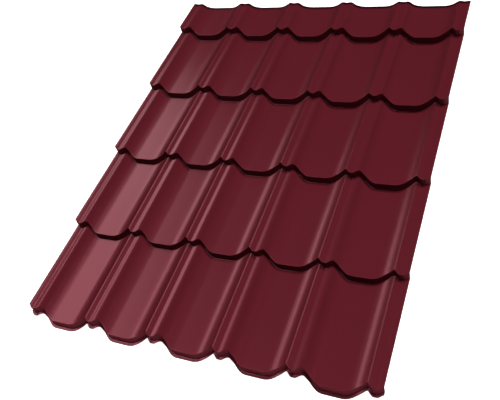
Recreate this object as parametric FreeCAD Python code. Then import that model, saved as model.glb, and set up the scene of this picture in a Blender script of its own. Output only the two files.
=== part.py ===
"""Tile effect roofing sheet: one pressed sheet of coated steel.

Five waves run from the eave to the ridge and five steps cross them, so that the
sheet looks like four full courses of tiles and the start of a fifth.
Millimetres. +X across the sheet, +Y from eave to ridge, +Z up.
The origin is under the middle of the sheet, on the floor that it lies on.
"""
import FreeCAD, Part
import math
import os

from FreeCAD import Vector

os.makedirs("parts", exist_ok=True)

doc = FreeCAD.newDocument("tile_effect_sheet")

# Driving dimensions
sheet = doc.addObject("Spreadsheet::Sheet", "dimensions")

SIZES = {
    # across the sheet
    "wave_pitch": 230.0,
    "wave_count": 5,
    "wave_height": 22.0,
    "crest_width": 38.5,
    "groove_offset": 19.0,
    "groove_depth": 2.6,
    "steep_run": 23.0,
    "steep_foot_height": 2.6,
    "dish_offset": 95.0,
    "rise_run": 31.0,
    "rise_foot_height": 1.4,
    "left_flange": 5.0,
    "right_flange": 3.0,
    # bends of the section
    "peak_radius": 12.0,
    "groove_radius": 20.0,
    "shoulder_radius": 14.0,
    "steep_foot_radius": 45.0,
    "dish_radius": 200.0,
    "rise_foot_radius": 75.0,
    # from eave to ridge
    "course_length": 350.0,
    "course_count": 4,
    "step_height": 30.0,
    "step_lean": 1.0,
    "step_top_radius": 3.5,
    "step_foot_radius": 3.5,
    "eave_lip": 10.5,
    "head_length": 203.0,
    # the step line seen from above: how far it lies back, up the roof, and where it bends
    "crest_setback": 34.5,
    "groove_setback": 19.7,
    "shoulder_setback": 25.5,
    "line_left_foot": -54.0,
    "line_left_peak": -4.7,
    "line_groove_start": 11.5,
    "line_groove_end": 27.0,
    "line_right_peak": 45.5,
    "line_shoulder": 62.0,
    "line_right_foot": 91.0,
    "line_peak_radius": 5.0,
    "line_foot_radius": 50.0,
    # the coated steel itself
    "sheet_thickness": 0.5,
}
for row, (name, value) in enumerate(SIZES.items(), start=1):
    sheet.set(f"A{row}", name)
    sheet.set(f"B{row}", str(value))
    sheet.setAlias(f"B{row}", name)
doc.recompute()


def size(name):
    return float(sheet.get(name))


def rounded(before, corner, after, radius, flats):
    """A bend between two straight runs, as the ends of its short flats.

    Each end is a place (across, up, angle), with the angle of the bend's tangent there.
    """
    angle_in = math.atan2(corner[1] - before[1], corner[0] - before[0])
    angle_out = math.atan2(after[1] - corner[1], after[0] - corner[0])
    turn = angle_out - angle_in
    setback = radius * math.tan(abs(turn) / 2)
    side = math.copysign(radius, turn)
    centre = (
        corner[0] - setback * math.cos(angle_in) - side * math.sin(angle_in),
        corner[1] - setback * math.sin(angle_in) + side * math.cos(angle_in),
    )
    angles = [angle_in + turn * n / flats for n in range(flats + 1)]
    return [
        (centre[0] + side * math.sin(a), centre[1] - side * math.cos(a), a)
        for a in angles
    ]


def rounded_line(corners):
    """The places along a line whose corners are (across, up, radius, flats)."""
    places = []
    for before, corner, after in zip(corners, corners[1:], corners[2:]):
        places += rounded(before, corner, after, corner[2], corner[3])
    return places


def repeated(wave_corners):
    """One wave's corners, for each wave and for one more at either end."""
    return [
        (pitch * wave + corner[0], *corner[1:])
        for wave in range(-1, count + 1)
        for corner in wave_corners
    ]


# Section across the sheet: the height of the top face over the valley floor
pitch = size("wave_pitch")
count = int(size("wave_count"))
height = size("wave_height")
steep_foot = size("crest_width") + size("steep_run")
rise_foot = pitch - size("rise_run")

section_line = rounded_line(repeated([
    (0.0, height, size("peak_radius"), 3),
    (size("groove_offset"), height - size("groove_depth"), size("groove_radius"), 1),
    (size("crest_width"), height, size("shoulder_radius"), 3),
    (steep_foot, size("steep_foot_height"), size("steep_foot_radius"), 4),
    (size("dish_offset"), 0.0, size("dish_radius"), 1),
    (rise_foot, size("rise_foot_height"), size("rise_foot_radius"), 4),
]))

# The step line: how far each step lies back, up the roof
step_line = rounded_line(repeated([
    (size("line_left_peak"), size("crest_setback"), size("line_peak_radius"), 2),
    (size("line_groove_start"), size("groove_setback"), size("line_peak_radius"), 2),
    (size("line_groove_end"), size("groove_setback"), size("line_peak_radius"), 2),
    (size("line_right_peak"), size("crest_setback"), size("line_peak_radius"), 2),
    (size("line_shoulder"), size("shoulder_setback"), size("line_foot_radius"), 2),
    (size("line_right_foot"), 0.0, size("line_foot_radius"), 4),
    (pitch + size("line_left_foot"), 0.0, size("line_foot_radius"), 4),
]))

left_rim = -size("left_flange")
right_rim = pitch * count + size("crest_width") + size("right_flange")


def value_at(x, line):
    """A line's value at x."""
    for one, other in zip(line, line[1:]):
        if one[0] <= x <= other[0]:
            return one[1] + (other[1] - one[1]) * (x - one[0]) / (other[0] - one[0])


def cut_at(x, line):
    """The place at x on a line, with the angle of the place before it."""
    before = [place for place in line if place[0] <= x][-1]
    return x, value_at(x, line), before[2]


def section_places():
    """Places (x, height, angle, setback, setback's slope) from rim to rim."""
    line_bends = [
        pitch * wave + size(name)
        for wave in range(count + 1)
        for name in ("line_groove_start", "line_groove_end", "line_left_foot")
    ]
    inner = sorted(
        [place for place in section_line if left_rim < place[0] < right_rim]
        + [cut_at(x, section_line) for x in line_bends if left_rim < x < right_rim]
    )
    places = [cut_at(left_rim, section_line)] + inner + [cut_at(right_rim, section_line)]
    backs = [value_at(place[0], step_line) for place in places]
    runs = list(zip(places, backs))
    slopes = [
        (back1 - back0) / (after[0] - before[0])
        for (before, back0), (after, back1) in zip([runs[0]] + runs, runs[1:] + [runs[-1]])
    ]
    return [(*place, back, slope) for place, back, slope in zip(places, backs, slopes)]


section = section_places()


# Path from eave to ridge: the lip, then a step and a sloping course, over and over
course = size("course_length")
courses = int(size("course_count"))
rise = size("step_height")
lean = size("step_lean")
ridge = course * courses + size("head_length")
fall = rise / (course - lean)

folds = [(-lean - size("eave_lip"), 0.0)]
bends = []
for n in range(courses + 1):
    folds += [(course * n - lean, 0.0), (course * n, rise)]
    bends += [(size("step_foot_radius"), 1), (size("step_top_radius"), 2)]
folds.append((ridge, rise - fall * size("head_length")))

path = [(*folds[0], 0.0)]
for before, corner, after, (radius, flats) in zip(folds, folds[1:], folds[2:], bends):
    path += rounded(before, corner, after, radius, flats)


def section_points(place, depth):
    """The section at one place of the path, on the top face or a depth of steel under it."""
    along, up, path_angle = place
    points = []
    for x, z, angle, setback, slope in section:
        tilt = slope * math.sin(path_angle) - math.tan(angle) * math.cos(path_angle)
        reach = depth * math.hypot(1.0, tilt)
        points.append(Vector(
            x,
            along + setback + reach * math.sin(path_angle),
            up + z - reach * math.cos(path_angle),
        ))
    return points


def cut_at_ridge(points):
    """The ends of a course's straight lines, where the shear cuts them square."""
    return [Vector(p.x, ridge, p.z - fall * (ridge - p.y)) for p in points]


def flat_strip(one, other):
    """The faces between two neighbouring rows of points, where each face is flat."""
    return [
        Part.Face(Part.makePolygon([a, b, c, d, a]))
        for a, b, c, d in zip(one, one[1:], other[1:], other)
    ]


def twisted_strip(one, other):
    """The faces between two rows of points, where each face may be a little twisted."""
    edges = [
        [Part.LineSegment(a, b).toShape() for a, b in zip(row, row[1:])]
        for row in (one, other)
    ]
    return [Part.makeRuledSurface(a, b) for a, b in zip(*edges)]


top = [section_points(place, 0.0) for place in path]
under = [section_points(place, size("sheet_thickness")) for place in path]
for skin in (top, under):
    skin.append(cut_at_ridge(skin[-1]))

faces = twisted_strip(top[0], under[0]) + flat_strip(top[-1], under[-1])
for one, other in zip(top, top[1:]):
    faces += flat_strip(one, other)
turns = [abs(after[2] - before[2]) for before, after in zip(path, path[1:])] + [0.0]
for one, other, turn in zip(under, under[1:], turns):
    faces += flat_strip(one, other) if turn < 1e-9 else twisted_strip(one, other)
for rim in (0, -1):
    outline = [row[rim] for row in top] + [row[rim] for row in reversed(under)]
    faces.append(Part.Face(Part.makePolygon(outline + outline[:1])))
shell = Part.makeCompound(faces)
shell.sewShape(0.001)
solid = Part.Solid(shell.Shells[0])
if solid.Volume < 0:
    solid.reverse()

roofing_sheet = doc.addObject("Part::Feature", "roofing_sheet")
roofing_sheet.Label = "roofing_sheet"
roofing_sheet.Shape = solid
box = solid.BoundBox
roofing_sheet.Placement = FreeCAD.Placement(
    Vector(-box.Center.x, -box.Center.y, -box.ZMin), FreeCAD.Rotation()
)
doc.recompute()

for item in doc.Objects:
    if "Invalid" in item.State or "Error" in item.State:
        raise RuntimeError(f"{item.Name} failed: {item.State}")
for node in [roofing_sheet]:
    if node.Shape.isNull() or not node.Shape.isValid():
        raise RuntimeError(f"{node.Label} has no valid shape")
    node.Shape.exportStep(f"parts/{node.Label}.step")
    box = node.Shape.BoundBox
    print(node.Label, box, node.Shape.Volume, "solids", len(node.Shape.Solids))
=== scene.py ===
# %% [markdown]
# # A tile effect roofing sheet
# One sheet of coated steel, pressed so that it looks like rows of clay tiles. Waves
# run from the eave to the ridge, and steps cross them.
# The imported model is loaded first. It gives the sheet's place and size, and nothing
# in this lesson changes them: +X is across, +Y is up the roof, +Z is out of the roof.

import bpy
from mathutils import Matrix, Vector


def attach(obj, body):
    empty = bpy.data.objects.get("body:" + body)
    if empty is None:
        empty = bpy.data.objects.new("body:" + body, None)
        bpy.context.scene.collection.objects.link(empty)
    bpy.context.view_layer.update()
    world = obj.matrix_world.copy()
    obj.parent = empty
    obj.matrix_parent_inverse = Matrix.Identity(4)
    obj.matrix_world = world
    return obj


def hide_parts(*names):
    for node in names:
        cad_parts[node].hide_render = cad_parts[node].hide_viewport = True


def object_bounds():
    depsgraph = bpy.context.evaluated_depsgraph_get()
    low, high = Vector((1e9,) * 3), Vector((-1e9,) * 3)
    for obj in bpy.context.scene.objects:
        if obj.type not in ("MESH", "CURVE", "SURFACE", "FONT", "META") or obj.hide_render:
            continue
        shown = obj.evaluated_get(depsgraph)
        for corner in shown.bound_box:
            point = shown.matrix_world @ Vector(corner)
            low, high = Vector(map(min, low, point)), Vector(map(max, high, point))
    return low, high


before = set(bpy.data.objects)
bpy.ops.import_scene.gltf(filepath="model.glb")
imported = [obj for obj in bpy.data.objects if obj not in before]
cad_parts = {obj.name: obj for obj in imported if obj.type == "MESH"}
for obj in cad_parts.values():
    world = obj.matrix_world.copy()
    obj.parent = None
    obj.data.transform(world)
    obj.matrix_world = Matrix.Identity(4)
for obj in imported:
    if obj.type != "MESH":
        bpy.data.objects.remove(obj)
cad_box = [list(corner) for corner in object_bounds()]

import math

import bpy
from mathutils import Matrix, Vector

MM = 0.001
print("model box", cad_box)

# %% [markdown]
# ## Sizes
# The real sizes of the press tool, in millimetres. They are the same as the model's,
# so the finished surface lies on the model's own faces. Two things are finer here: the
# bends of the steps are tighter arcs, where the model has a few short flats, and the
# groove of each crest has a tighter bottom and one more bend on either side.

# %% Sizes of the sheet
WAVE_PITCH = 230.0
WAVE_COUNT = 5
WAVE_HEIGHT = 22.0
CREST_WIDTH = 38.5
GROOVE_OFFSET = 19.0
GROOVE_DEPTH = 2.6
GROOVE_START = 11.5
GROOVE_END = 27.0
GROOVE_SIDE_HEIGHT = 20.8
STEEP_RUN = 23.0
STEEP_FOOT_HEIGHT = 2.6
DISH_OFFSET = 95.0
RISE_RUN = 31.0
RISE_FOOT_HEIGHT = 1.4
LEFT_FLANGE = 5.0
RIGHT_FLANGE = 3.0
COURSE_LENGTH = 350.0
COURSE_COUNT = 4
STEP_HEIGHT = 30.0
STEP_LEAN = 1.0
TOP_RADIUS = 1.2
FOOT_RADIUS = 2.5
EAVE_LIP = 10.5
HEAD_LENGTH = 203.0
CREST_SETBACK = 34.5
GROOVE_SETBACK = 19.7
SHOULDER_SETBACK = 25.5
THICKNESS = 0.5

LEFT_RIM = -LEFT_FLANGE
RIGHT_RIM = WAVE_PITCH * WAVE_COUNT + CREST_WIDTH + RIGHT_FLANGE
EAVE = -STEP_LEAN - EAVE_LIP
RIDGE = COURSE_LENGTH * COURSE_COUNT + HEAD_LENGTH
FALL = STEP_HEIGHT / (COURSE_LENGTH - STEP_LEAN)
print("across", RIGHT_RIM - LEFT_RIM, "mm, eave to ridge", RIDGE - EAVE, "mm")

# %% [markdown]
# ## Camera
# The camera comes early, because each later choice is judged through it. It stands in
# front of the eave, to the right and well above the sheet. It is rolled a little, which
# is why the sheet runs from the lower right to the upper left of the picture. Its place
# is in millimetres, and its roll in degrees.

# %% Camera
CAMERA_PLACE = (847.8, -1336.1, 1712.2)
CAMERA_DIRECTION = (-0.40974, 0.48022, -0.77557)
CAMERA_ROLL = -25.618

camera_data = bpy.data.cameras.new("camera")
camera_data.sensor_width = 36.0
camera_data.lens = 45.84
camera_data.shift_x = 0.05
camera_data.shift_y = 0.03
camera = bpy.data.objects.new("camera", camera_data)
bpy.context.scene.collection.objects.link(camera)
camera.location = Vector(CAMERA_PLACE) * MM
view = Vector(CAMERA_DIRECTION)
roll = math.radians(CAMERA_ROLL)
camera.rotation_euler = (
    view.to_track_quat("-Z", "Y").to_matrix() @ Matrix.Rotation(roll, 3, "Z")
).to_euler()
bpy.context.scene.camera = camera
print("camera", round(camera.location.length, 2), "m from the middle of the sheet")

# %% [markdown]
# ## The section
# A press tool is drawn as lines. The first is the section across the sheet: a grooved
# crest, a steep side, a nearly flat floor and a long rise to the next crest. Its
# corners are rounded to true arcs, and the two rims cut it off. Each corner of a wave is
# written as its place across, its height and the radius of its bend.

# %% Section across the sheet
PEAK_RADIUS = 12.0
GROOVE_SIDE_RADIUS = 60.0
GROOVE_RADIUS = 14.0
SHOULDER_RADIUS = 14.0
STEEP_FOOT_RADIUS = 45.0
DISH_RADIUS = 200.0
RISE_FOOT_RADIUS = 75.0

steep_foot = CREST_WIDTH + STEEP_RUN
rise_foot = WAVE_PITCH - RISE_RUN
WAVE = [
    (0.0, WAVE_HEIGHT, PEAK_RADIUS),
    (GROOVE_START, GROOVE_SIDE_HEIGHT, GROOVE_SIDE_RADIUS),
    (GROOVE_OFFSET, WAVE_HEIGHT - GROOVE_DEPTH, GROOVE_RADIUS),
    (GROOVE_END, GROOVE_SIDE_HEIGHT, GROOVE_SIDE_RADIUS),
    (CREST_WIDTH, WAVE_HEIGHT, SHOULDER_RADIUS),
    (steep_foot, STEEP_FOOT_HEIGHT, STEEP_FOOT_RADIUS),
    (DISH_OFFSET, 0.0, DISH_RADIUS),
    (rise_foot, RISE_FOOT_HEIGHT, RISE_FOOT_RADIUS),
]
BEND_POINTS = 5


def rounded(before, corner, after):
    """Points along the arc that rounds a corner (x, z, radius)."""
    angle_in = math.atan2(corner[1] - before[1], corner[0] - before[0])
    angle_out = math.atan2(after[1] - corner[1], after[0] - corner[0])
    turn = angle_out - angle_in
    reach = corner[2] * math.tan(abs(turn) / 2)
    side = math.copysign(corner[2], turn)
    centre_x = corner[0] - reach * math.cos(angle_in) - side * math.sin(angle_in)
    centre_z = corner[1] - reach * math.sin(angle_in) + side * math.cos(angle_in)
    angles = [angle_in + turn * n / BEND_POINTS for n in range(BEND_POINTS + 1)]
    return [(centre_x + side * math.sin(a), centre_z - side * math.cos(a)) for a in angles]


def on_line(one, other, x):
    """The height at x of the straight line through two points."""
    return one[1] + (other[1] - one[1]) * (x - one[0]) / (other[0] - one[0])


def value_at(x, line):
    """The height at x of a line of points."""
    for one, other in zip(line, line[1:]):
        if one[0] <= x <= other[0]:
            return on_line(one, other, x)


wave_corners = [
    (WAVE_PITCH * wave + x, z, radius)
    for wave in range(-1, WAVE_COUNT + 1)
    for x, z, radius in WAVE
]
section_line = []
for before, corner, after in zip(wave_corners, wave_corners[1:], wave_corners[2:]):
    section_line += rounded(before, corner, after)
print("section points", len(section_line))

# %% [markdown]
# ## The step line
# The steps aren't straight across. Seen from above, each step lies back where the wave
# is high, and comes forward a little in the groove of each crest. The line is drawn
# once for one wave, with its corners eased into parabolas. Each corner is written as
# its place across, how far back it lies, and how far to either side its easing reaches.

# %% The step line
LEFT_FOOT = -54.0
LEFT_PEAK = -4.7
RIGHT_PEAK = 45.5
SHOULDER = 62.0
RIGHT_FOOT = 91.0

LEFT_FOOT_EASE = 17.0
LEFT_PEAK_EASE = 3.2
GROOVE_EASE = 2.5
RIGHT_PEAK_EASE = 3.5
SHOULDER_EASE = 6.0
RIGHT_FOOT_EASE = 16.0

STEP_CORNERS = [
    (LEFT_FOOT, 0.0, LEFT_FOOT_EASE),
    (LEFT_PEAK, CREST_SETBACK, LEFT_PEAK_EASE),
    (GROOVE_START, GROOVE_SETBACK, GROOVE_EASE),
    (GROOVE_END, GROOVE_SETBACK, GROOVE_EASE),
    (RIGHT_PEAK, CREST_SETBACK, RIGHT_PEAK_EASE),
    (SHOULDER, SHOULDER_SETBACK, SHOULDER_EASE),
    (RIGHT_FOOT, 0.0, RIGHT_FOOT_EASE),
    (WAVE_PITCH + LEFT_FOOT, 0.0, LEFT_FOOT_EASE),
    (WAVE_PITCH + LEFT_PEAK, CREST_SETBACK, LEFT_PEAK_EASE),
    (WAVE_PITCH + GROOVE_START, GROOVE_SETBACK, GROOVE_EASE),
]


def eased_corners(corners, points=6):
    """A line whose corners are eased into parabolas; each corner is (x, y, reach)."""
    line = []
    for before, corner, after in zip(corners, corners[1:], corners[2:]):
        x, y, reach = corner
        start = on_line(before, corner, x - reach)
        end = on_line(corner, after, x + reach)
        for n in range(points + 1):
            t = n / points
            eased = (1 - t) ** 2 * start + 2 * t * (1 - t) * y + t * t * end
            line.append((x - reach + 2 * reach * t, eased))
    return line


eased_line = eased_corners(STEP_CORNERS)
STEP_LINE = [(0.0, value_at(0.0, eased_line))]
STEP_LINE += [(x, back) for x, back in eased_line if 0.0 < x < WAVE_PITCH]
STEP_LINE.append((WAVE_PITCH, value_at(0.0, eased_line)))
print("step line points", len(STEP_LINE))

# %% [markdown]
# ## The lines as curves
# The tree below reads its lines from curve objects. The section gets a point wherever
# it or the step line bends. The path from eave to ridge keeps sharp corners, and each
# carries its bend's radius as the point's radius, because Geometry Nodes has Fillet
# Curve to round them. A support point a few millimetres from each fold keeps the shading
# of the long courses flat.


# %% Section and path as curves
def poly_curve(name, corners):
    """A poly curve through corners (place in mm, bend radius in mm)."""
    curve = bpy.data.curves.new(name, "CURVE")
    curve.dimensions = "3D"
    spline = curve.splines.new("POLY")
    spline.points.add(len(corners) - 1)
    for point, (place, radius) in zip(spline.points, corners):
        point.co = (*(Vector(place) * MM), 1.0)
        point.radius = radius * MM
    curve_object = bpy.data.objects.new(name, curve)
    bpy.context.scene.collection.objects.link(curve_object)
    return curve_object


columns_at = {round(x, 3) for x, _ in section_line if LEFT_RIM < x < RIGHT_RIM}
for wave in range(-1, WAVE_COUNT + 1):
    for x, _ in STEP_LINE:
        column_x = round(WAVE_PITCH * wave + x, 3)
        if LEFT_RIM < column_x < RIGHT_RIM:
            columns_at.add(column_x)
columns_at = [LEFT_RIM, *sorted(columns_at), RIGHT_RIM]
section_curve = poly_curve(
    "section", [((x, 0.0, value_at(x, section_line)), 0.0) for x in columns_at]
)

SUPPORT = 6.0
path_corners = [((0.0, EAVE, 0.0), 0.0)]
for step in range(COURSE_COUNT + 1):
    start = COURSE_LENGTH * step
    path_corners.append(((0.0, start - STEP_LEAN, 0.0), FOOT_RADIUS))
    path_corners.append(((0.0, start, STEP_HEIGHT), TOP_RADIUS))
    if step < COURSE_COUNT:
        supports = (SUPPORT, COURSE_LENGTH - STEP_LEAN - SUPPORT)
    else:
        supports = (SUPPORT, HEAD_LENGTH - CREST_SETBACK - SUPPORT)
    for along in supports:
        path_corners.append(((0.0, start + along, STEP_HEIGHT - FALL * along), 0.0))
path_corners.append(((0.0, RIDGE, STEP_HEIGHT - FALL * HEAD_LENGTH), 0.0))
path_curve = poly_curve("path", path_corners)
print("columns", len(columns_at), "path corners", len(path_corners))

# %% [markdown]
# ## Pressing the sheet
# The sheet is a grid with one column for each point of the section and one row for
# each point of the path. A vertex takes its place across and its height from the
# section, and its place along and its step from the path. A Float Curve holds the step
# line, which repeats with each wave. The ridge end is a straight shear cut, so its last
# row is moved along the slope of the top course.


# %% Node helpers
def new_tree(name, inputs, outputs):
    """A geometry node tree with named inputs and outputs."""
    tree = bpy.data.node_groups.new(name, "GeometryNodeTree")
    for label, kind in inputs:
        tree.interface.new_socket(label, in_out="INPUT", socket_type=kind)
    for label, kind in outputs:
        tree.interface.new_socket(label, in_out="OUTPUT", socket_type=kind)
    return tree


class Wiring:
    """Adds nodes to a tree and joins them, so that a step reads as one line."""

    def __init__(self, tree):
        self.tree = tree

    def node(self, kind, inputs=None, **settings):
        made = self.tree.nodes.new(kind)
        for setting, value in settings.items():
            setattr(made, setting, value)
        for key, value in (inputs or {}).items():
            self.join(value, made.inputs[key])
        return made

    def join(self, value, socket):
        if isinstance(value, bpy.types.NodeSocket):
            self.tree.links.new(value, socket)
        else:
            socket.default_value = value

    def math(self, operation, first, second=0.0, third=0.0):
        made = self.node("ShaderNodeMath", {0: first, 1: second, 2: third}, operation=operation)
        return made.outputs[0]

    def whole(self, operation, first, second):
        made = self.node("FunctionNodeIntegerMath", {0: first, 1: second}, operation=operation)
        return made.outputs[0]


# %% The pressing tree
press = new_tree(
    "press_sheet",
    [
        ("Section", "NodeSocketObject"),
        ("Path", "NodeSocketObject"),
        ("Bend Points", "NodeSocketInt"),
        ("Wave Pitch", "NodeSocketFloat"),
        ("Crest Setback", "NodeSocketFloat"),
        ("Ridge", "NodeSocketFloat"),
        ("Course Fall", "NodeSocketFloat"),
        ("Coat", "NodeSocketMaterial"),
    ],
    [("Geometry", "NodeSocketGeometry")],
)
w = Wiring(press)
given = w.node("NodeGroupInput").outputs


def filleted(curve_socket):
    """A curve object's line with its corners rounded, and how many points it has.

    A point whose radius is nothing stays as it is.
    """
    info = w.node("GeometryNodeObjectInfo", {"Object": curve_socket})
    radius = w.node("GeometryNodeInputRadius").outputs[0]
    fillet = w.node(
        "GeometryNodeFilletCurve",
        {"Curve": info.outputs["Geometry"], "Count": given["Bend Points"], "Radius": radius},
        mode="POLY",
    )
    size = w.node(
        "GeometryNodeAttributeDomainSize",
        {"Geometry": fillet.outputs[0]},
        component="CURVE",
    )
    return fillet.outputs[0], size.outputs["Point Count"]


section_points, columns = filleted(given["Section"])
path_points, rows = filleted(given["Path"])
grid = w.node("GeometryNodeMeshGrid", {"Vertices X": columns, "Vertices Y": rows})
index = w.node("GeometryNodeInputIndex").outputs[0]
column = w.whole("DIVIDE_FLOOR", index, rows)
row = w.whole("MODULO", index, rows)
position = w.node("GeometryNodeInputPosition").outputs[0]


def point_of(points, number):
    """The place of a curve's numbered point, as its x, y and z."""
    sample = w.node(
        "GeometryNodeSampleIndex",
        {"Geometry": points, "Value": position, "Index": number},
        data_type="FLOAT_VECTOR",
        domain="POINT",
    )
    split = w.node("ShaderNodeSeparateXYZ", {0: sample.outputs[0]})
    return split.outputs


across = point_of(section_points, column)
along_path = point_of(path_points, row)

wave_place = w.math("FRACT", w.math("DIVIDE", across[0], given["Wave Pitch"]))
step_line = w.node("ShaderNodeFloatCurve", {"Value": wave_place})
step_curve = step_line.mapping.curves[0]
while len(step_curve.points) < len(STEP_LINE):
    step_curve.points.new(0.5, 0.5)
for point, (x, back) in zip(step_curve.points, STEP_LINE):
    point.location = (x / WAVE_PITCH, back / CREST_SETBACK)
    point.handle_type = "VECTOR"
step_line.mapping.update()

setback = w.math("MULTIPLY", step_line.outputs[0], given["Crest Setback"])
along_sheet = w.math("ADD", along_path[1], setback)
last_row = w.whole("SUBTRACT", rows, 1)
at_ridge = w.node(
    "FunctionNodeCompare", {2: row, 3: last_row}, data_type="INT", operation="EQUAL"
).outputs[0]
overshoot = w.math("MULTIPLY", w.math("SUBTRACT", along_sheet, given["Ridge"]), at_ridge)
along_cut = w.math("SUBTRACT", along_sheet, overshoot)
height = w.math("ADD", across[2], along_path[2])
height_cut = w.math("MULTIPLY_ADD", overshoot, given["Course Fall"], height)
place = w.node("ShaderNodeCombineXYZ", {0: across[0], 1: along_cut, 2: height_cut})
pressed = w.node(
    "GeometryNodeSetPosition",
    {"Geometry": grid.outputs["Mesh"], "Position": place.outputs[0]},
)
smooth = w.node("GeometryNodeSetShadeSmooth", {"Geometry": pressed.outputs[0]})
realized = w.node("GeometryNodeRealizeInstances", {"Geometry": smooth.outputs[0]})
coated = w.node(
    "GeometryNodeSetMaterial", {"Geometry": realized.outputs[0], "Material": given["Coat"]}
)
w.node("NodeGroupOutput", {0: coated.outputs[0]})
print("pressing tree", len(press.nodes), "nodes")

# %% [markdown]
# ## Paint
# Coil coated steel has a smooth gloss coat on top and a thin matt coat under it. The
# top coat isn't a mirror: rolling leaves a very fine grain, and the colour drifts by a
# few hundredths over the sheet. The cut edges show bare zinc and steel. All three use
# one node group for the drift and the grain, each with its own numbers. A second group
# paints shade into the top coat's colour: a narrow dark line along the ridge. Sizes
# in the materials are in metres.


# %% Paint helpers
DRIFT_SIZE = 0.35
ROUGHNESS_DRIFT = 0.06
GRAIN_DEPTH = 0.0002


def colour(red, green, blue):
    """A colour with no transparency."""
    return (red, green, blue, 1.0)


def rolled_paint_group():
    """Drift of colour and a fine grain, for any coat that was rolled on."""
    group = bpy.data.node_groups.new("rolled_paint", "ShaderNodeTree")
    for label, kind in (
        ("Colour", "NodeSocketColor"),
        ("Drift", "NodeSocketFloat"),
        ("Drift Size", "NodeSocketFloat"),
        ("Grain Size", "NodeSocketFloat"),
        ("Roughness", "NodeSocketFloat"),
        ("Roughness Drift", "NodeSocketFloat"),
    ):
        group.interface.new_socket(label, in_out="INPUT", socket_type=kind)
    for label, kind in (
        ("Colour", "NodeSocketColor"),
        ("Roughness", "NodeSocketFloat"),
        ("Grain", "NodeSocketFloat"),
    ):
        group.interface.new_socket(label, in_out="OUTPUT", socket_type=kind)
    g = Wiring(group)
    given = g.node("NodeGroupInput").outputs
    where = g.node("ShaderNodeTexCoord").outputs["Object"]
    drift_scale = g.math("DIVIDE", 1.0, given["Drift Size"])
    drift = g.node(
        "ShaderNodeTexNoise", {"Vector": where, "Scale": drift_scale, "Detail": 3.0}
    ).outputs["Fac"]
    swing = g.math("SUBTRACT", drift, 0.5)
    value = g.math("MULTIPLY_ADD", swing, given["Drift"], 1.0)
    drifted = g.node(
        "ShaderNodeHueSaturation", {"Color": given["Colour"], "Value": value}
    ).outputs[0]
    roughness = g.math("MULTIPLY_ADD", swing, given["Roughness Drift"], given["Roughness"])
    grain_scale = g.math("DIVIDE", 1.0, given["Grain Size"])
    grain = g.node(
        "ShaderNodeTexNoise", {"Vector": where, "Scale": grain_scale, "Detail": 2.0}
    ).outputs["Fac"]
    g.node("NodeGroupOutput", {0: drifted, 1: roughness, 2: grain})
    return group


rolled_paint = rolled_paint_group()


def coat_material(name, tint, drift, roughness, grain_size, bump, **sockets):
    """The finish of one face of the sheet, painted or bare."""
    material = bpy.data.materials.new(name)
    material.use_nodes = True
    m = Wiring(material.node_tree)
    shader = material.node_tree.nodes["Principled BSDF"]
    paint = m.node("ShaderNodeGroup", node_tree=rolled_paint)
    for key, value in {
        "Colour": tint,
        "Drift": drift,
        "Drift Size": DRIFT_SIZE,
        "Grain Size": grain_size,
        "Roughness": roughness,
        "Roughness Drift": ROUGHNESS_DRIFT,
    }.items():
        paint.inputs[key].default_value = value
    m.join(paint.outputs["Colour"], shader.inputs["Base Color"])
    m.join(paint.outputs["Roughness"], shader.inputs["Roughness"])
    relief = m.node(
        "ShaderNodeBump",
        {"Height": paint.outputs["Grain"], "Strength": bump, "Distance": GRAIN_DEPTH},
    )
    m.join(relief.outputs[0], shader.inputs["Normal"])
    for key, value in sockets.items():
        shader.inputs[key.replace("_", " ")].default_value = value
    return material


# The painted shade along the ridge is fully dark over this share of its width.
RIDGE_SHADE_CORE = 0.4


def ridge_shade_group():
    """Mask of painted ridge shade: full over the core of its width, then fading out."""
    group = bpy.data.node_groups.new("ridge_shade", "ShaderNodeTree")
    for label in ("Ridge", "Width"):
        group.interface.new_socket(label, in_out="INPUT", socket_type="NodeSocketFloat")
    group.interface.new_socket("Mask", in_out="OUTPUT", socket_type="NodeSocketFloat")
    g = Wiring(group)
    given = g.node("NodeGroupInput").outputs
    where = g.node("ShaderNodeTexCoord").outputs["Object"]
    split = g.node("ShaderNodeSeparateXYZ", {0: where})
    distance = g.math("SUBTRACT", given["Ridge"], split.outputs["Y"])
    mask = g.node(
        "ShaderNodeMapRange",
        {
            "Value": distance,
            "From Min": g.math("MULTIPLY", given["Width"], RIDGE_SHADE_CORE),
            "From Max": given["Width"],
            "To Min": 1.0,
            "To Max": 0.0,
        },
    ).outputs[0]
    g.node("NodeGroupOutput", {0: mask})
    return group


# %% Materials of the sheet
WINE = colour(0.106, 0.0110, 0.0180)
WARM_GLOSS = colour(1.0, 0.31, 0.39)
# A near black for the painted shade along the ridge, mixed into the top coat's colour.
RIDGE_SHADE = colour(0.016, 0.001, 0.002)
BACKING_GREY = colour(0.33, 0.33, 0.31)
BARE_METAL = colour(0.36, 0.33, 0.32)
RIDGE_SHADE_WIDTH = 0.020

wine_coat = coat_material(
    "wine_coat",
    tint=WINE,
    drift=0.12,
    roughness=0.30,
    grain_size=0.0012,
    bump=0.05,
    Specular_IOR_Level=1.0,
    Specular_Tint=WARM_GLOSS,
)
back_coat = coat_material(
    "back_coat", tint=BACKING_GREY, drift=0.10, roughness=0.55, grain_size=0.0020, bump=0.10
)
cut_edge = coat_material(
    "cut_edge",
    tint=BARE_METAL,
    drift=0.20,
    roughness=0.45,
    grain_size=0.0008,
    bump=0.2,
    Metallic=0.6,
)
print("finishes", [finish.name for finish in (wine_coat, back_coat, cut_edge)])

# %% The painted shade along the ridge
# The top coat's colour is darkened to a near black along the ridge: painted shade.
paint_tree = Wiring(wine_coat.node_tree)
paint_shader = wine_coat.node_tree.nodes["Principled BSDF"]
ridge_shade = paint_tree.node("ShaderNodeGroup", node_tree=ridge_shade_group())
ridge_shade.inputs["Ridge"].default_value = cad_box[1][1]
ridge_shade.inputs["Width"].default_value = RIDGE_SHADE_WIDTH
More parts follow.
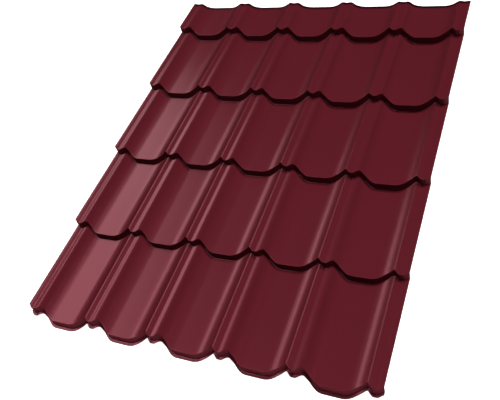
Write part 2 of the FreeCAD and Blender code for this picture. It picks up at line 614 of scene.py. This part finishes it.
# A Mix node's sockets 6 and 7 are its two colours, and output 2 is the mixed colour.
ridge_shaded = paint_tree.node(
    "ShaderNodeMix",
    {
        "Factor": ridge_shade.outputs["Mask"],
        6: paint_shader.inputs["Base Color"].links[0].from_socket,
        7: RIDGE_SHADE,
    },
    data_type="RGBA",
)
paint_tree.join(ridge_shaded.outputs[2], paint_shader.inputs["Base Color"])
print("ridge line", RIDGE_SHADE_WIDTH, "m wide")

# %% [markdown]
# ## The finished sheet
# The tree runs on an empty object, its result becomes a plain mesh, and Solidify gives
# that skin its half millimetre of steel, downwards from the top face. The under face
# and the cut edges get their own materials there.

# %% Build the sheet
seed_mesh = bpy.data.meshes.new("pressed_sheet_seed")
seed = bpy.data.objects.new("pressed_sheet_seed", seed_mesh)
bpy.context.scene.collection.objects.link(seed)
press_modifier = seed.modifiers.new("press", "NODES")
press_modifier.node_group = press
press_values = {
    "Section": section_curve,
    "Path": path_curve,
    "Bend Points": BEND_POINTS,
    "Wave Pitch": WAVE_PITCH * MM,
    "Crest Setback": CREST_SETBACK * MM,
    "Ridge": RIDGE * MM,
    "Course Fall": FALL,
    "Coat": wine_coat,
}
for item in press.interface.items_tree:
    if item.in_out == "INPUT":
        press_modifier[item.identifier] = press_values[item.name]


def plain_mesh(source, name):
    """The evaluated object's mesh, as a mesh of its own."""
    bpy.context.view_layer.update()
    evaluated = source.evaluated_get(bpy.context.evaluated_depsgraph_get())
    mesh = bpy.data.meshes.new_from_object(evaluated)
    mesh.name = name
    return mesh


skin = plain_mesh(seed, "pressed_skin")
high = Vector(cad_box[1])
place_in_model = Vector((
    -0.5 * (LEFT_RIM + RIGHT_RIM) * MM,
    high.y - RIDGE * MM,
    high.z - max(vertex.co.z for vertex in skin.vertices),
))
skin.transform(Matrix.Translation(place_in_model))
print("skin", len(skin.vertices), "vertices,", len(skin.polygons), "faces")
for spare in (seed, section_curve, path_curve):
    bpy.data.objects.remove(spare)

skin_object = bpy.data.objects.new("pressed_skin", skin)
bpy.context.scene.collection.objects.link(skin_object)
for material in (back_coat, cut_edge):
    skin.materials.append(material)
solidify = skin_object.modifiers.new("thickness", "SOLIDIFY")
solidify.thickness = THICKNESS * MM
solidify.offset = -1.0
solidify.use_even_offset = True
solidify.material_offset = 1
solidify.material_offset_rim = 2
sheet_mesh = plain_mesh(skin_object, "pressed_sheet")
bpy.data.objects.remove(skin_object)

pressed_sheet = bpy.data.objects.new("pressed_sheet", sheet_mesh)
bpy.context.scene.collection.objects.link(pressed_sheet)
edge_materials = {}
for polygon in sheet_mesh.polygons:
    for key in polygon.edge_keys:
        edge_materials.setdefault(key, set()).add(polygon.material_index)
for edge in sheet_mesh.edges:
    edge.use_edge_sharp = len(edge_materials.get(edge.key, ())) > 1

pressed_sheet.visible_glossy = False
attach(pressed_sheet, "root")
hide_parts("roofing_sheet")
print("sheet", len(sheet_mesh.polygons), "faces")

# %% [markdown]
# ## Floor
# The floor is plain and pale. The camera sees it as white, and a stronger glow gives
# the sheet its light from below. Neither the floor nor the sheet shows in the gloss, so
# the paint carries no grey bands from them. The floor is 8 m to each side, and a hair
# lower than the sheet, so that the two faces don't fight. Sizes are in metres.

# %% Floor
FLOOR_WHITE = 0.8
FLOOR_GLOW = 1.3
FLOOR_REACH = 8
FLOOR_GAP = 0.0005
floor_corners = [
    (-FLOOR_REACH, -FLOOR_REACH, 0),
    (FLOOR_REACH, -FLOOR_REACH, 0),
    (FLOOR_REACH, FLOOR_REACH, 0),
    (-FLOOR_REACH, FLOOR_REACH, 0),
]
floor_mesh = bpy.data.meshes.new("floor")
floor_mesh.from_pydata(floor_corners, [], [(0, 1, 2, 3)])
floor = bpy.data.objects.new("floor", floor_mesh)
bpy.context.scene.collection.objects.link(floor)
floor.location.z = -FLOOR_GAP
floor.visible_glossy = False
floor_material = bpy.data.materials.new("pale_floor")
floor_material.use_nodes = True
floor_shader = floor_material.node_tree.nodes["Principled BSDF"]
floor_shader.inputs["Base Color"].default_value = colour(0.8, 0.8, 0.8)
floor_shader.inputs["Roughness"].default_value = 0.9
floor_shader.inputs["Emission Color"].default_value = colour(1, 1, 1)
floor_tree = Wiring(floor_material.node_tree)
seen = floor_tree.node("ShaderNodeLightPath").outputs["Is Camera Ray"]
glow = floor_tree.math("MULTIPLY_ADD", seen, FLOOR_WHITE - FLOOR_GLOW, FLOOR_GLOW)
floor_tree.join(glow, floor_shader.inputs["Emission Strength"])
floor_mesh.materials.append(floor_material)
print("floor", 2 * FLOOR_REACH, "m wide")

# %% [markdown]
# ## Lamps
# Two lamps work in the gloss alone. A long strip on the left draws the light lines of
# the crests and the pale floors of the left waves. A box above the eave lights its lip.
# The plain light is a wide overhead lamp, which stands a little beyond the ridge and to
# the right.


# %% Lamps
def soft_box(name, place, aim, roll, width, length, strength):
    """A rectangular lamp at a place, turned to a point and rolled."""
    lamp = bpy.data.lights.new(name, "AREA")
    lamp.shape = "RECTANGLE"
    lamp.size = width
    lamp.size_y = length
    lamp.energy = strength
    lamp_object = bpy.data.objects.new(name, lamp)
    bpy.context.scene.collection.objects.link(lamp_object)
    lamp_object.location = place
    facing = (Vector(aim) - Vector(place)).to_track_quat("-Z", "Y").to_matrix()
    turned = facing @ Matrix.Rotation(math.radians(roll), 3, "Z")
    lamp_object.rotation_euler = turned.to_euler()
    return lamp_object


left_strip = soft_box(
    "left_strip",
    place=(-2.126, 0.425, 1.733),
    aim=(-1.466, -0.175, -0.057),
    roll=-43,
    width=1.0,
    length=3.8,
    strength=31.5,
)
front_box = soft_box(
    "front_box",
    place=(-1.03, -1.08, 2.0),
    aim=(0.0, 0.0, 0.0),
    roll=0,
    width=1.2,
    length=1.2,
    strength=16,
)
for gloss_lamp in (left_strip, front_box):
    gloss_lamp.visible_diffuse = False

OVERHEAD_FALL = (-0.15, -0.26, -1.0)
sky_lamp = bpy.data.lights.new("overhead", "SUN")
sky_lamp.energy = 3.3
sky_lamp.angle = math.radians(26)
overhead = bpy.data.objects.new("overhead", sky_lamp)
bpy.context.scene.collection.objects.link(overhead)
overhead.rotation_euler = Vector(OVERHEAD_FALL).to_track_quat("-Z", "Y").to_euler()
overhead.visible_glossy = False
print("lamps", [lamp.name for lamp in (left_strip, front_box, overhead)])

# %% [markdown]
# ## Room
# The room is white to the camera. It adds a little plain light to the sheet, and none
# to the gloss.

# %% Room
ROOM_LIGHT = 0.12
world = bpy.data.worlds.new("room")
bpy.context.scene.world = world
world.use_nodes = True
world.node_tree.nodes["Background"].inputs["Color"].default_value = colour(1, 1, 1)
room = Wiring(world.node_tree)
room_rays = room.node("ShaderNodeLightPath").outputs
dim = room.math("MULTIPLY", room_rays["Is Diffuse Ray"], ROOM_LIGHT)
strength = room.math("ADD", room_rays["Is Camera Ray"], dim)
room.join(strength, world.node_tree.nodes["Background"].inputs["Strength"])
bpy.context.scene.view_settings.view_transform = "Standard"
print("room light", ROOM_LIGHT)
